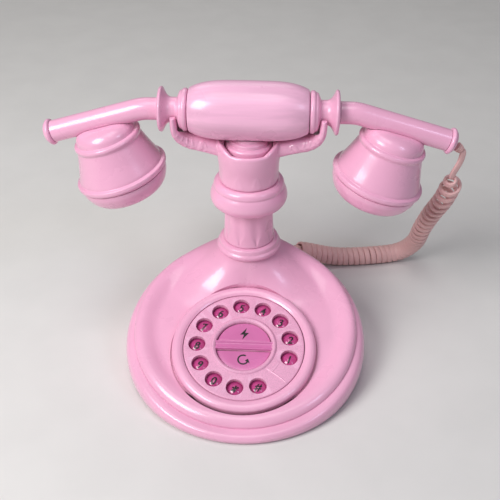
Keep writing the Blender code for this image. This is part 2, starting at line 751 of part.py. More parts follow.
def build_cord():
    cord_piece("cord_lead_top", LEAD_TOP_ROUTE, LEAD_R, 2, 4)
    cord_piece("cord_curl", CURL_ROUTE, CORD_OD / 2.0, 2, 3)
    cord_piece("cord_lead_base", LEAD_BASE_ROUTE, LEAD_R, 2, 4)
    cord_plug()


clear_scene()
build_base()
build_dial()
build_column()
build_handset()
build_cord()
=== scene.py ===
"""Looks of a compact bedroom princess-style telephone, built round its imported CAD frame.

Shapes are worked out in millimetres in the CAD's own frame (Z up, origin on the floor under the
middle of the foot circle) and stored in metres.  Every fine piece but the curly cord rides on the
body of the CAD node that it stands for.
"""
import json
import math

import bmesh
import bpy
from mathutils import Matrix, Vector, kdtree

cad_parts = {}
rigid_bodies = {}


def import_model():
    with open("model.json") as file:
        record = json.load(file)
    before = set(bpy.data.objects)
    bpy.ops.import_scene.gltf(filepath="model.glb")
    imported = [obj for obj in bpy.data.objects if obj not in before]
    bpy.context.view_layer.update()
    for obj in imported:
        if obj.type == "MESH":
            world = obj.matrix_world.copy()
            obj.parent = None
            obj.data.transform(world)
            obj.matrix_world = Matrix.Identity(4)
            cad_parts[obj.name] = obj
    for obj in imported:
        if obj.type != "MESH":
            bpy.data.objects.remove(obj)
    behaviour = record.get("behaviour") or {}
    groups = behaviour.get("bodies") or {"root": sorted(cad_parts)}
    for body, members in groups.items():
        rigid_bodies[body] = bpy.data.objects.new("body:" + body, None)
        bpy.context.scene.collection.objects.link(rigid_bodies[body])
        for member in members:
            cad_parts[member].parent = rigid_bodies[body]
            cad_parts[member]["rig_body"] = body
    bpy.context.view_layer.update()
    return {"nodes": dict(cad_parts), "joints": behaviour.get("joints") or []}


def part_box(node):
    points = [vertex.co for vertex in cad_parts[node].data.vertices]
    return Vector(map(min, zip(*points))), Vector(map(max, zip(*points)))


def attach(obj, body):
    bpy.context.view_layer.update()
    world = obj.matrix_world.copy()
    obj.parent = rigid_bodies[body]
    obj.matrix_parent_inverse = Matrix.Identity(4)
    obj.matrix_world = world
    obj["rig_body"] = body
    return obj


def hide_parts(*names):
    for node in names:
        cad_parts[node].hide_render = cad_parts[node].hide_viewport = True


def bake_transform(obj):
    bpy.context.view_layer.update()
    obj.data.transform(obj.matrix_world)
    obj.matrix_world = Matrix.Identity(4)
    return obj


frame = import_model()

MM = 0.001
PI = math.pi
TAU = 2.0 * math.pi


def centre(node):
    """Middle of a CAD node's box, in millimetres."""
    low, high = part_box(node)
    return (low + high) / (2.0 * MM)


def joint_axis(name):
    return Vector(next(j["axis"] for j in frame["joints"] if j["name"] == name))


# ---- driving dimensions, millimetres ---------------------------------------------------------
PRESS = joint_axis("key_5_press")
TILT = math.atan2(PRESS.y, -PRESS.z)
PLANE_Z = 26.4
STEP_R = 71.0
FOOT_R = 75.0
SOLE_Z = 1.5
WALL = 2.2
JACK_X = 14.0                      # each jack's distance from the middle of the back

COLUMN_Y = centre("column_lower").y
NECK_R = 18.6
NECK_Z = 57.0

MAT_DEPTH = 7.0                    # keypad mat's middle under the dial plane
BEZEL_R = 45.1
DISC_R = 37.8
KEY_RING_R = 29.4
KEY_HOLE_R = 5.4
HUB_R = 20.1
WINDOW_R = 17.8
BAR_HALF = 2.9
KEY_FIRST = math.radians(-14.9)
KEY_STEP = math.radians(27.7)
KEYS = (("1", "1"), ("2", "2"), ("3", "3"), ("4", "4"), ("5", "5"), ("6", "6"), ("7", "7"),
        ("8", "8"), ("9", "9"), ("0", "0"), ("star", "*"), ("hash", "#"))

GRIP_Z = centre("handset_rod").z
GRIP_R = 17.8
GRIP_END_R = 12.9
GRIP_HALF = 36.0
NECK_ROD_R = 7.3
FLARE_R = 13.6
TUBE_R = 6.7
TUBE_BORE = 4.6
TUBE_BEND_X = 64.0
TUBE_END_X = 119.7
TUBE_SLOPE = math.radians(16.5)
CUP_X = 90.6
CUP_TILT = TUBE_SLOPE              # cups stand square to the sloping tubes

STEP_FRAME = Matrix.Translation((0.0, 0.0, PLANE_Z)) @ Matrix.Rotation(TILT, 4, "X")
DIAL_NORMAL = -PRESS.normalized()
DIAL_FRAME = (Matrix.Translation(centre("keypad_mat") + DIAL_NORMAL * MAT_DEPTH)
              @ Matrix.Rotation(TILT, 4, "X"))


def at(x, y, z=0.0):
    return Matrix.Translation((x, y, z))


COLUMN_FRAME = at(0.0, COLUMN_Y)


def handset_frame(side):
    """Local Z runs outward along the handset axis."""
    return at(0.0, COLUMN_Y, GRIP_Z) @ Matrix.Rotation(side * PI / 2.0, 4, "Y")


def end_frame(side):
    """Local Z runs outward along the sloping tube from its end."""
    drop = (TUBE_END_X - TUBE_BEND_X) * math.tan(TUBE_SLOPE)
    tip = at(side * TUBE_END_X, COLUMN_Y, GRIP_Z - drop)
    return tip @ Matrix.Rotation(side * (PI / 2.0 + TUBE_SLOPE), 4, "Y")


def cup_frame(side):
    """Local Z runs down the cup axis from the tube axis."""
    drop = (CUP_X - TUBE_BEND_X) * math.tan(TUBE_SLOPE)
    top = at(side * CUP_X, COLUMN_Y, GRIP_Z - drop)
    return top @ Matrix.Rotation(PI + side * CUP_TILT, 4, "Y")


def key_frame(index):
    a = KEY_FIRST + KEY_STEP * index
    return DIAL_FRAME @ at(KEY_RING_R * math.cos(a), KEY_RING_R * math.sin(a))


# ---- small maths -----------------------------------------------------------------------------
def smooth(low, high, value):
    """0 below low, 1 above high, easing between."""
    t = min(1.0, max(0.0, (value - low) / (high - low)))
    return t * t * (3.0 - 2.0 * t)


def spread(low, high, count):
    return [low + (high - low) * i / (count - 1) for i in range(count)]


# ---- camera, lights and floor ------------------------------------------------------------------
def camera():
    """The photograph's viewing angle: 36 degrees down, a few degrees to the left, no roll."""
    pan, pitch, roll = math.radians(2.8093), math.radians(36.1153), math.radians(-0.0128)
    right = Vector((math.cos(pan), math.sin(pan), 0.0))
    ahead = Vector((-math.sin(pan), math.cos(pan), 0.0))
    up = Vector((0.0, 0.0, 1.0))
    view = math.cos(pitch) * ahead - math.sin(pitch) * up
    top = math.sin(pitch) * ahead + math.cos(pitch) * up
    x_axis = math.cos(roll) * right + math.sin(roll) * top
    y_axis = -math.sin(roll) * right + math.cos(roll) * top
    pose = Matrix((x_axis, y_axis, -view)).transposed().to_4x4()
    pose.translation = Vector((0.021945, -0.384967, 0.368296))
    data = bpy.data.cameras.new("camera")
    data.sensor_width = 36.0
    data.lens = 57.6
    obj = bpy.data.objects.new("camera", data)
    bpy.context.scene.collection.objects.link(obj)
    obj.matrix_world = pose
    bpy.context.scene.camera = obj


def area_light(name, azimuth, elevation, distance, size, power, colour):
    """Soft box aimed at the middle of the telephone; azimuth 0 is in front, positive to the right."""
    target = Vector((0.0, 0.03, 0.09))
    a, e = math.radians(azimuth), math.radians(elevation)
    away = Vector((math.sin(a) * math.cos(e), -math.cos(a) * math.cos(e), math.sin(e)))
    data = bpy.data.lights.new(name, "AREA")
    data.shape = "RECTANGLE"
    data.size, data.size_y = size
    data.energy = power
    data.color = colour
    obj = bpy.data.objects.new(name, data)
    bpy.context.scene.collection.objects.link(obj)
    obj.matrix_world = (Matrix.Translation(target + away * distance)
                        @ away.to_track_quat("Z", "Y").to_matrix().to_4x4())


def studio():
    area_light("key_light", -50.0, 40.0, 1.1, (0.52, 0.56), 10.5, (1.0, 0.99, 0.99))
    area_light("sky_fill", 54.0, 40.0, 1.3, (0.26, 0.40), 2.2, (0.70, 0.76, 1.0))
    area_light("top_light", -25.0, 80.0, 1.3, (0.8, 0.7), 4.4, (1.0, 0.99, 0.98))
    area_light("back_light", 190.0, 40.0, 1.5, (1.0, 0.5), 2.0, (1.0, 0.97, 0.96))
    world = bpy.data.worlds.new("studio_world")
    bpy.context.scene.world = world
    world.use_nodes = True
    background = world.node_tree.nodes["Background"]
    background.inputs["Color"].default_value = (0.92, 0.91, 0.92, 1.0)
    background.inputs["Strength"].default_value = 0.15
    bpy.context.scene.view_settings.view_transform = "Standard"


# ---- materials -------------------------------------------------------------------------------
def wire(tree, kind, settings=(), **inputs):
    """New node with its settings; an input is a value or another node's output socket."""
    made = tree.nodes.new(kind)
    for name, value in settings:
        setattr(made, name, value)
    for key, value in inputs.items():
        numbered = key[0] == "n" and key[1:].isdigit()
        socket = made.inputs[int(key[1:]) if numbered else key]
        if isinstance(value, bpy.types.NodeSocket):
            tree.links.new(value, socket)
        else:
            socket.default_value = value
    return made


def rgba(colour, gain=1.0):
    return (colour[0] * gain, colour[1] * gain, colour[2] * gain, 1.0)


def blend_colour(tree, factor, first, second):
    made = wire(tree, "ShaderNodeMix", (("data_type", "RGBA"),), n0=factor, n6=first, n7=second)
    return made.outputs[2]


def ranged(tree, value, low, high, out_low, out_high):
    made = wire(tree, "ShaderNodeMapRange", (), Value=value)
    limits = {"From Min": low, "From Max": high, "To Min": out_low, "To Max": out_high}
    for key, number in limits.items():
        made.inputs[key].default_value = number
    return made.outputs["Result"]


def clouds(tree, place, scale, detail):
    made = wire(tree, "ShaderNodeTexNoise", (), Vector=place, Scale=scale, Detail=detail)
    return made.outputs["Fac"]


def moulded(name, colour, roughness, blotch=0.05, speck=0.0, grain=0.05, edge=0.14, crevice_shade=0.25,
            coat=0.0, stretch=(1.0, 1.0, 1.0)):
    """Moulded plastic: slow colour drift, fine speckle, hand-smudged gloss, paler worn edges, painted
    shade in creases.
    """
    mat = bpy.data.materials.new(name)
    mat.use_nodes = True
    tree = mat.node_tree
    shader = tree.nodes["Principled BSDF"]
    where = wire(tree, "ShaderNodeTexCoord").outputs["Object"]
    place = wire(tree, "ShaderNodeMapping", (), Vector=where)
    place.inputs["Scale"].default_value = stretch
    place = place.outputs["Vector"]
    drift = clouds(tree, place, 24.0, 3.0)
    tint = blend_colour(tree, ranged(tree, drift, 0.35, 0.65, 0.0, 1.0),
                        rgba(colour, 1.0 - blotch), rgba(colour, 1.0 + 0.6 * blotch))
    if speck:
        dots = clouds(tree, where, 1500.0, 2.0)
        tint = blend_colour(tree, ranged(tree, dots, 0.42, 0.62, 0.0, speck), tint, rgba(colour, 0.72))
    bend = wire(tree, "ShaderNodeNewGeometry").outputs["Pointiness"]
    worn = (min(1.0, colour[0] * 1.12 + 0.05), colour[1] * 1.2 + 0.1, colour[2] * 1.2 + 0.08, 1.0)
    tint = blend_colour(tree, ranged(tree, bend, 0.51, 0.60, 0.0, edge), tint, worn)
    # painted shade: hollows and creases (low pointiness) darken towards a darker copy of the colour
    tint = blend_colour(tree, ranged(tree, bend, 0.49, 0.40, 0.0, crevice_shade), tint, rgba(colour, 0.55))
    tree.links.new(tint, shader.inputs["Base Color"])
    smudge = clouds(tree, where, 42.0, 6.0)
    tree.links.new(ranged(tree, smudge, 0.3, 0.72, roughness - 0.05, roughness + 0.09),
                   shader.inputs["Roughness"])
    fine = clouds(tree, where, 1900.0, 2.0)
    bump = wire(tree, "ShaderNodeBump", (), Strength=grain, Distance=0.0006, Height=fine)
    tree.links.new(bump.outputs["Normal"], shader.inputs["Normal"])
    shader.inputs["Coat Weight"].default_value = coat
    shader.inputs["Coat Roughness"].default_value = 0.12
    return mat


def metal(name, colour, roughness):
    """Plated steel with a fine brushed grain."""
    mat = bpy.data.materials.new(name)
    mat.use_nodes = True
    tree = mat.node_tree
    shader = tree.nodes["Principled BSDF"]
    where = wire(tree, "ShaderNodeTexCoord").outputs["Object"]
    stain = clouds(tree, where, 130.0, 5.0)
    tint = blend_colour(tree, stain, rgba(colour, 0.8), rgba(colour, 1.1))
    tree.links.new(tint, shader.inputs["Base Color"])
    tree.links.new(ranged(tree, stain, 0.3, 0.7, roughness - 0.08, roughness + 0.1),
                   shader.inputs["Roughness"])
    scratch = clouds(tree, where, 2600.0, 1.0)
    bump = wire(tree, "ShaderNodeBump", (), Strength=0.15, Distance=0.0002, Height=scratch)
    tree.links.new(bump.outputs["Normal"], shader.inputs["Normal"])
    shader.inputs["Metallic"].default_value = 1.0
    return mat


PINK = (0.84, 0.42, 0.60)
DEEP = (0.50, 0.06, 0.23)
CORD_TINT = (0.78, 0.47, 0.46)

MATERIALS = {
    "shell": moulded("gloss_pink_abs", PINK, 0.28, coat=0.45),
    "barrel": moulded("pearl_pink_abs", (0.85, 0.46, 0.64), 0.30, blotch=0.10, coat=0.35,
                      stretch=(0.5, 9.0, 9.0)),
    "disc": moulded("satin_pink_abs", (0.80, 0.39, 0.57), 0.42, speck=0.45, grain=0.22, edge=0.35),
    "key": moulded("deep_pink_abs", DEEP, 0.16, blotch=0.10, coat=0.6, edge=0.3),
    "hub": moulded("rose_abs", (0.64, 0.17, 0.40), 0.22, blotch=0.08, coat=0.4, edge=0.4),
    "ink": moulded("black_ink", (0.018, 0.012, 0.015), 0.34, blotch=0.3, edge=0.05),
    "cord": moulded("salmon_vinyl", CORD_TINT, 0.42, blotch=0.10, speck=0.15, grain=0.12, crevice_shade=0.45),
    "foot": moulded("black_rubber", (0.022, 0.021, 0.022), 0.62, blotch=0.3, grain=0.4, edge=0.1),
    "black": moulded("black_nylon", (0.028, 0.027, 0.029), 0.42, blotch=0.25, grain=0.25, edge=0.1),
    "silicone": moulded("milky_silicone", (0.78, 0.77, 0.73), 0.55, blotch=0.06, grain=0.2),
    "board": moulded("green_solder_mask", (0.03, 0.19, 0.07), 0.30, blotch=0.25, grain=0.1),
    "clear": moulded("milky_clear_plug", (0.74, 0.70, 0.66), 0.16, blotch=0.06, coat=0.5),
    "steel": metal("zinc_plated_steel", (0.60, 0.60, 0.62), 0.32),
    "gold": metal("gold_contacts", (0.83, 0.60, 0.24), 0.25),
}


# ---- mesh building blocks ----------------------------------------------------------------------
def add_mesh(name, vertices, faces, mat, placed=None, sharp=40.0):
    """Store millimetre points, standing in `placed`, as an object whose own place is the origin."""
    if placed is not None:
        vertices = [placed @ Vector(v) for v in vertices]
    mesh = bpy.data.meshes.new(name)
    mesh.from_pydata([(v[0] * MM, v[1] * MM, v[2] * MM) for v in vertices], [], faces)
    bm = bmesh.new()
    bm.from_mesh(mesh)
    bmesh.ops.recalc_face_normals(bm, faces=bm.faces)
    bm.to_mesh(mesh)
    bm.free()
    obj = bpy.data.objects.new(name, mesh)
    bpy.context.scene.collection.objects.link(obj)
    if mat is not None:
        mesh.materials.append(MATERIALS[mat])
    shade(obj, sharp)
    return obj


def shade(obj, sharp):
    obj.data.shade_smooth()
    obj.data.set_sharp_from_angle(angle=math.radians(sharp))


def skin(rings, closed_loop=False):
    """Points and faces between rings; a ring of one point closes an end."""
    points, starts = [], []
    for ring in rings:
        starts.append(len(points))
        points.extend(ring)
    pairs = list(zip(range(len(rings) - 1), range(1, len(rings))))
    if closed_loop:
        pairs.append((len(rings) - 1, 0))
    faces = []
    for low, high in pairs:
        a, b = starts[low], starts[high]
        count = max(len(rings[low]), len(rings[high]))
        for i in range(count):
            j = (i + 1) % count
            if len(rings[low]) == 1:
                faces.append((a, b + i, b + j))
            elif len(rings[high]) == 1:
                faces.append((a + i, a + j, b))
            else:
                faces.append((a + i, a + j, b + j, b + i))
    if not closed_loop:
        for k in (0, len(rings) - 1):
            if len(rings[k]) > 2:
                faces.append(tuple(range(starts[k], starts[k] + len(rings[k]))))
    return points, faces


def eased(profile, ease, steps=4):
    """The profile with each corner turned by a short curve, at most `ease` millimetres long a side."""
    out = [profile[0]]
    for before, corner, after in zip(profile, profile[1:], profile[2:]):
        a = Vector((before[0] - corner[0], before[1] - corner[1]))
        b = Vector((after[0] - corner[0], after[1] - corner[1]))
        cut = min(corner[2] if len(corner) > 2 else ease, 0.46 * a.length, 0.46 * b.length)
        middle = Vector((corner[0], corner[1]))
        start, end = middle + a.normalized() * cut, middle + b.normalized() * cut
        for i in range(steps + 1):
            t = i / steps
            p = start * (1 - t) ** 2 + middle * (2 * t * (1 - t)) + end * t ** 2
            out.append((p.x, p.y))
    out.append(profile[-1])
    return [(p[0], p[1]) for p in out]


def dense(profile, step):
    """The profile with its long stretches divided."""
    out = [profile[0]]
    for a, b in zip(profile, profile[1:]):
        count = max(1, math.ceil(math.hypot(b[0] - a[0], b[1] - a[1]) / step))
        for i in range(1, count + 1):
            t = i / count
            out.append((a[0] + (b[0] - a[0]) * t, a[1] + (b[1] - a[1]) * t))
    return out


def turned(name, profile, mat, placed, segments=96, ease=0.4, relief=None, step=None, sharp=40.0):
    """Turned piece about local Z; relief(angle, radius, z) gives the radius its carving leaves."""
    line = eased(profile, ease)
    if step:
        line = dense(line, step)
    bored = profile[0][0] > 0.0
    rings = []
    for r, z in line:
        if r <= 0.0:
            rings.append([(0.0, 0.0, z)])
            continue
        ring = []
        for i in range(segments):
            a = TAU * i / segments
            radius = relief(a, r, z) if relief else r
            ring.append((radius * math.cos(a), radius * math.sin(a), z))
        rings.append(ring)
    return add_mesh(name, *skin(rings, bored), mat, placed, sharp)


def prism(name, outline, z0, z1, mat, placed=None, sharp=40.0):
    rings = [[(x, y, z) for x, y in outline] for z in (z0, z1)]
    return add_mesh(name, *skin(rings), mat, placed, sharp)


def box_outline(low, high):
    return [(low[0], low[1]), (high[0], low[1]), (high[0], high[1]), (low[0], high[1])]


def applied(obj, sharp=40.0):
    """Bake the modifiers into the mesh."""
    graph = bpy.context.evaluated_depsgraph_get()
    mesh = bpy.data.meshes.new_from_object(obj.evaluated_get(graph))
    obj.modifiers.clear()
    obj.data = mesh
    shade(obj, sharp)
    return obj


def carved(obj, tools, operation="DIFFERENCE", sharp=40.0):
    """Cut or join with each tool, then throw the tools away."""
    for tool in tools:
        mod = obj.modifiers.new(tool.name, "BOOLEAN")
        mod.operation = operation
        mod.solver = "EXACT"
        mod.object = tool
    applied(obj, sharp)
    for tool in tools:
        bpy.data.objects.remove(tool, do_unlink=True)
    return obj


def softened(obj, width, limit=40.0, segments=3, sharp=50.0):
    """Round the sharp edges that a cut leaves."""
    mod = obj.modifiers.new("soften", "BEVEL")
    mod.width = width * MM
    mod.segments = segments
    mod.limit_method = "ANGLE"
    mod.angle_limit = math.radians(limit)
    mod.harden_normals = True
    return applied(obj, sharp)


def rod_tool(radius, z0, z1, placed, segments=48):
    return turned("tool", [(0.0, z0), (radius, z0), (radius, z1), (0.0, z1)], None, placed,
                  segments, 0.0)


def stands_for(obj, slot, *nodes):
    """The piece takes the place of these CAD nodes and moves with their body."""
    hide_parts(*nodes)
    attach(obj, frame["nodes"][nodes[0]]["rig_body"])
    return obj


def rides_with(obj, node):
    """An added detail on the body of a CAD node."""
    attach(obj, frame["nodes"][node]["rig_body"])
    return obj


def repaint(node, mat):
    """Give a CAD node that stays as it is a procedural material."""
    obj = frame["nodes"][node]
    obj.data.materials.clear()
    obj.data.materials.append(MATERIALS[mat])


# ---- handset cord ------------------------------------------------------------------------------
LEAD_TOP_ROUTE = ((0.1294, 0.048, 0.13105), (0.1302, 0.048, 0.1294), (0.1294, 0.0482, 0.1228),
                  (0.1264, 0.0488, 0.1135))
CURL_ROUTE = ((0.1278, 0.0516, 0.1074), (0.1266, 0.062, 0.088), (0.1236, 0.0776, 0.0656),
              (0.122, 0.0932, 0.0432), (0.1206, 0.1064, 0.0212), (0.110, 0.1114, 0.0082),
              (0.087, 0.107, 0.0071), (0.063, 0.1044, 0.0076), (0.0414, 0.1024, 0.0126),
              (0.0326, 0.1002, 0.0156))
LEAD_BASE_ROUTE = ((0.0294, 0.0992, 0.0168), (0.0186, 0.0936, 0.0198), (0.014, 0.085, 0.0202),
                   (0.014, 0.0796, 0.0202))
RIBBON_WIDTH = 4.0
RIBBON_THICK = 2.0
COIL_R = 5.75                      # ribbon's centreline round the coil's axis
PITCH_OPEN = 7.6                   # stretched turns under the handset
PITCH_CLOSED = 4.15                # turns lying against each other
TURN_POINTS = 26


def smooth_route(route, per_span):
    """Catmull-Rom curve through the given route points, in millimetres."""
    pts = [Vector(p) / MM for p in route]
    pts = [2.0 * pts[0] - pts[1]] + pts + [2.0 * pts[-1] - pts[-2]]
    out = []
    for a, b, c, d in zip(pts, pts[1:], pts[2:], pts[3:]):
        for k in range(per_span):
            t = k / per_span
            out.append(0.5 * (2.0 * b + (c - a) * t + (2.0 * a - 5.0 * b + 4.0 * c - d) * t ** 2
                              + (3.0 * b - a - 3.0 * c + d) * t ** 3))
    out.append(pts[-2])
    return out


def distances(points):
    out = [0.0]
    for a, b in zip(points, points[1:]):
        out.append(out[-1] + (b - a).length)
    return out


def carried_frames(points):
    """A direction across the line at each point that turns no more than the line does."""
    across = []
    last = Vector((0.0, -1.0, 0.0))
    for i in range(len(points)):
        along = (points[min(i + 1, len(points) - 1)] - points[max(i - 1, 0)]).normalized()
        last = (last - along * last.dot(along)).normalized()
        across.append((along, last.copy()))
    return across


def curly_centreline():
    """Ribbon's centreline and its flat side's direction along the lead, the coil and the tail."""
    axis = smooth_route(LEAD_TOP_ROUTE + CURL_ROUTE + LEAD_BASE_ROUTE, 60)
    run = distances(axis)
    frames = carried_frames(axis)
    curl_start = run[60 * len(LEAD_TOP_ROUTE)]
    curl_end = run[60 * (len(LEAD_TOP_ROUTE) + len(CURL_ROUTE) - 1)]
    elbow = run[60 * (len(LEAD_TOP_ROUTE) + 4)]
    points, sides = [], []
    phase, s = PI * 0.9, 0.0
    i = 0
    while s < run[-1]:
        while run[i + 1] < s:
            i += 1
        t = (s - run[i]) / (run[i + 1] - run[i])
        middle = axis[i].lerp(axis[i + 1], t)
        along, side = frames[i]
        other = along.cross(side)
        swell = smooth(curl_start - 6.0, curl_start + 5.0, s)
        swell *= 1.0 - smooth(curl_end - 5.0, curl_end + 4.0, s)
        out = side * math.cos(phase) + other * math.sin(phase)
        points.append(middle + out * (COIL_R * swell))
        sides.append(out)
        if swell > 0.02:
            closing = smooth(elbow - 30.0, elbow + 2.0, s)
            pitch = PITCH_OPEN + (PITCH_CLOSED - PITCH_OPEN) * closing
            s += pitch / TURN_POINTS
            phase += TAU / TURN_POINTS
        else:
            s += 0.8
    points.append(axis[-1])
    sides.append(sides[-1])
    return points, sides


def ribbon(name, points, sides, mat):
    """Rounded flat cord; each ring's thin way runs along the given side direction."""
    corners = 16
    square = 0.55
    section = []
    for k in range(corners):
        a = TAU * k / corners
        c, s = math.cos(a), math.sin(a)
        section.append((math.copysign(abs(c) ** square, c) * RIBBON_WIDTH / 2.0,
                        math.copysign(abs(s) ** square, s) * RIBBON_THICK / 2.0))
    rings = []
    for i, p in enumerate(points):
        along = (points[min(i + 1, len(points) - 1)] - points[max(i - 1, 0)]).normalized()
        thin = (sides[i] - along * sides[i].dot(along)).normalized()
        wide = along.cross(thin)
        rings.append([p + wide * w + thin * h for w, h in section])
    return add_mesh(name, *skin(rings), mat, None, 60.0)


def handset_cord():
    points, sides = curly_centreline()
    cord = ribbon("curly_handset_cord", points, sides, "cord")
    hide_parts("cord_lead_top", "cord_curl", "cord_lead_base")
    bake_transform(cord)


def strain_relief():
    """Tapered collar with ribs where the cord leaves the end of the handset tube."""
    start, end = Vector((125.8, 48.0, 134.0)), Vector((128.9, 48.0, 131.5))
    along = end - start
    placed = Matrix.Translation(start) @ along.to_track_quat("Z", "Y").to_matrix().to_4x4()
    profile = [(0.0, 0.0), (3.0, 0.0), (3.0, 0.8), (2.6, 1.0), (2.6, 1.5), (2.9, 1.7), (2.9, 2.2),
               (2.4, 2.4), (2.4, 2.9), (2.6, 3.1), (2.5, 3.6), (1.7, along.length), (0.0, along.length)]
    stands_for(turned("strain_relief", profile, "cord", placed, 32, 0.15), "cord_vinyl", "cord_grommet")


def clear_plug():
    """Modular plug with its latch tongue."""
    low, high = (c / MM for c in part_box("cord_plug"))
    body = prism("modular_plug", box_outline(low + Vector((0.1, 0.1, 0)), high - Vector((0.1, 0.1, 0))),
                 low.z + 0.1, high.z - 0.9, "clear")
    softened(body, 0.35)
    stands_for(body, "clear_plastic", "cord_plug")
    latch = prism("plug_latch", box_outline((low.x + 2.2, low.y + 3.0), (high.x - 2.2, high.y - 1.0)),
                  high.z - 0.8, high.z - 0.2, "clear")
    rides_with(softened(latch, 0.15), "cord_plug")


# ---- base --------------------------------------------------------------------------------------
def shoulder_height(inward):
    """Rolled shoulder inside the step ring, falling to the shallow dish."""
    crest, roll, fall, dish = 3.8, 4.5, 11.5, 0.5
    if inward <= 0.0:
        return 0.0
    if inward < roll:
        return crest * math.sqrt(1.0 - (1.0 - inward / roll) ** 2)
    if inward < roll + fall:
        return dish + (crest - dish) * 0.5 * (1.0 + math.cos(PI * (inward - roll) / fall))
    return dish


def dish_point(t, angle, shrink, drop):
    """Upper surface from the column neck (t=0) out to the step ring (t=1)."""
    radius = NECK_R + (STEP_R - NECK_R) * t
    flatten = 1.0 - t * (1.0 - math.cos(TILT))
    x = radius * math.cos(angle)
    y = COLUMN_Y * (1.0 - t) + radius * flatten * math.sin(angle)
    inward = STEP_R - math.hypot(x, y / math.cos(TILT))
    plane = PLANE_Z + y * math.tan(TILT)
    back = 0.5 * (1.0 + math.sin(angle))
    reach = 0.10 + 0.90 * back ** 0.8
    hollow = 2.2 - 1.2 * back ** 4
    rise = (1.0 - t / reach) ** hollow if t < reach else 0.0
    z = plane + shoulder_height(inward) * (1.0 - rise) + (NECK_Z - plane) * rise
    scale = (radius - shrink) / radius
    px = radius * scale * math.cos(angle)
    py = COLUMN_Y * (1.0 - t) + radius * scale * flatten * math.sin(angle)
    return (px, py, z - drop)


def step_circle(radius, w, segments):
    return [tuple(STEP_FRAME @ Vector((radius * math.cos(TAU * i / segments),
                                       radius * math.sin(TAU * i / segments), w)))
            for i in range(segments)]


def dish_layers(levels, shrink, drop, tail, segments):
    rings = [[dish_point(t, TAU * i / segments, shrink, drop) for i in range(segments)] for t in levels]
    return rings + [step_circle(radius, w, segments) for radius, w in tail]


def dish():
    """Dish, shoulder and the flare that rises to the column."""
    segments = 176
    outer = spread(0.0, 0.1, 12)[:-1] + spread(0.1, 0.8, 22)[:-1] + spread(0.8, 0.96, 22)[:-1]
    outer += [1.0 - 0.04 * (1.0 - k / 10.0) ** 2 for k in range(11)]
    shell = add_mesh("dish", *skin(dish_layers(outer, 0.0, 0.0, [(70.6, -2.6)], segments)), "shell")
    inner = spread(0.0, 0.8, 16) + [0.88, 0.93, 0.97, 1.0]
    tools = [
        add_mesh("tool", *skin(dish_layers(inner, WALL, WALL, [(68.4, -14.0)], 64)), None),
        rod_tool(BEZEL_R + 1.0, -5.0, 40.0, DIAL_FRAME @ at(0.0, -0.95), 160),
        rod_tool(43.0, -20.0, 30.0, DIAL_FRAME, 96),
        rod_tool(5.0, 40.0, 70.0, COLUMN_FRAME, 32),
    ]
    carved(shell, tools)
    stands_for(shell, "pink_plastic", "base_shell")


def skirt():
    """Rolled skirt from the tilted step ring down to the level foot, with two jack windows."""
    segments = 176
    columns = []
    for i in range(segments):
        a = TAU * i / segments
        out = Vector((math.cos(a), math.sin(a), 0.0))
        top = STEP_FRAME @ Vector((71.1 * out.x, 71.1 * out.y, -0.3))
        lap = STEP_FRAME @ Vector((71.0 * out.x, 71.0 * out.y, -3.2))
        foot = Vector((FOOT_R * out.x, FOOT_R * out.y, SOLE_Z))
        loop = [tuple(STEP_FRAME @ Vector((70.8 * out.x, 70.8 * out.y, -0.6))), tuple(top)]
        for k in range(1, 30):
            u = (k / 30.0) ** 1.35
            p = top.lerp(foot, u) + out * (4.2 * math.sin(PI * u ** 0.6))
            p.z += 0.7 * math.sin(PI * min(1.0, 2.5 * u))
            loop.append(tuple(p))
        for lean in (0.8, 0.45, 0.15, 0.0):
            loop.append(tuple(foot + out * (0.5 * lean ** 0.5 - 0.5) + Vector((0.0, 0.0, 0.6 * lean))))
        wall_r = 69.2 + 1.5 * (1.0 + out.y)
        loop.append((68.0 * out.x, 68.0 * out.y, SOLE_Z))
        loop.append((68.0 * out.x, 68.0 * out.y, SOLE_Z + 1.5))
        loop.append((wall_r * out.x, wall_r * out.y, SOLE_Z + 1.8))
        loop.append(tuple(lap))
        columns.append(loop)
    rings = [[columns[i][k] for i in range(segments)] for k in range(len(columns[0]))]
    piece = add_mesh("skirt", *skin(rings, True), "shell")
    tools = []
    for side in (1.0, -1.0):
        middle = side * JACK_X
        outline = box_outline((middle - 6.35, 55.0), (middle + 6.35, 90.0))
        tools.append(prism("tool", outline, 13.65, 26.35, None))
    carved(piece, tools)
    stands_for(piece, "pink_plastic", "base_skirt")


def feet():
    for number in range(1, 5):
        node = f"rubber_foot_{number}"
        middle = centre(node)
        profile = [(0.0, 0.35), (1.2, 0.35), (1.5, 0.0), (5.3, 0.0), (6.0, 0.6), (6.0, 1.2), (0.0, 1.2)]
        foot = turned(f"foot_pad_{number}", profile, "foot", at(middle.x, middle.y), 40, 0.25)
        stands_for(foot, "foot_rubber", node)


def screws():
    for number in range(1, 4):
        node = f"plate_screw_{number}"
        low, high = (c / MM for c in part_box(node))
        middle = (low + high) / 2.0
        head = [(0.0, low.z), (2.6, low.z), (3.0, low.z + 0.35), (1.4, low.z + 1.1)]
        thread = []
        for k in range(16):
            thread += [(1.4, low.z + 1.6 + 0.7 * k), (1.1, low.z + 1.95 + 0.7 * k)]
        tip = [(0.9, high.z - 0.6), (0.0, high.z)]
        screw = turned(f"self_tapping_screw_{number}", head + thread[:-1] + tip, "steel",
                       at(middle.x, middle.y), 32, 0.08)
        slots = []
        for quarter in (0.0, PI / 2.0):
            placed = at(middle.x, middle.y) @ Matrix.Rotation(quarter, 4, "Z")
            slots.append(prism("tool", box_outline((-1.5, -0.28), (1.5, 0.28)), low.z - 1.0,
                               low.z + 0.35, None, placed))
        stands_for(carved(screw, slots), "steel", node)


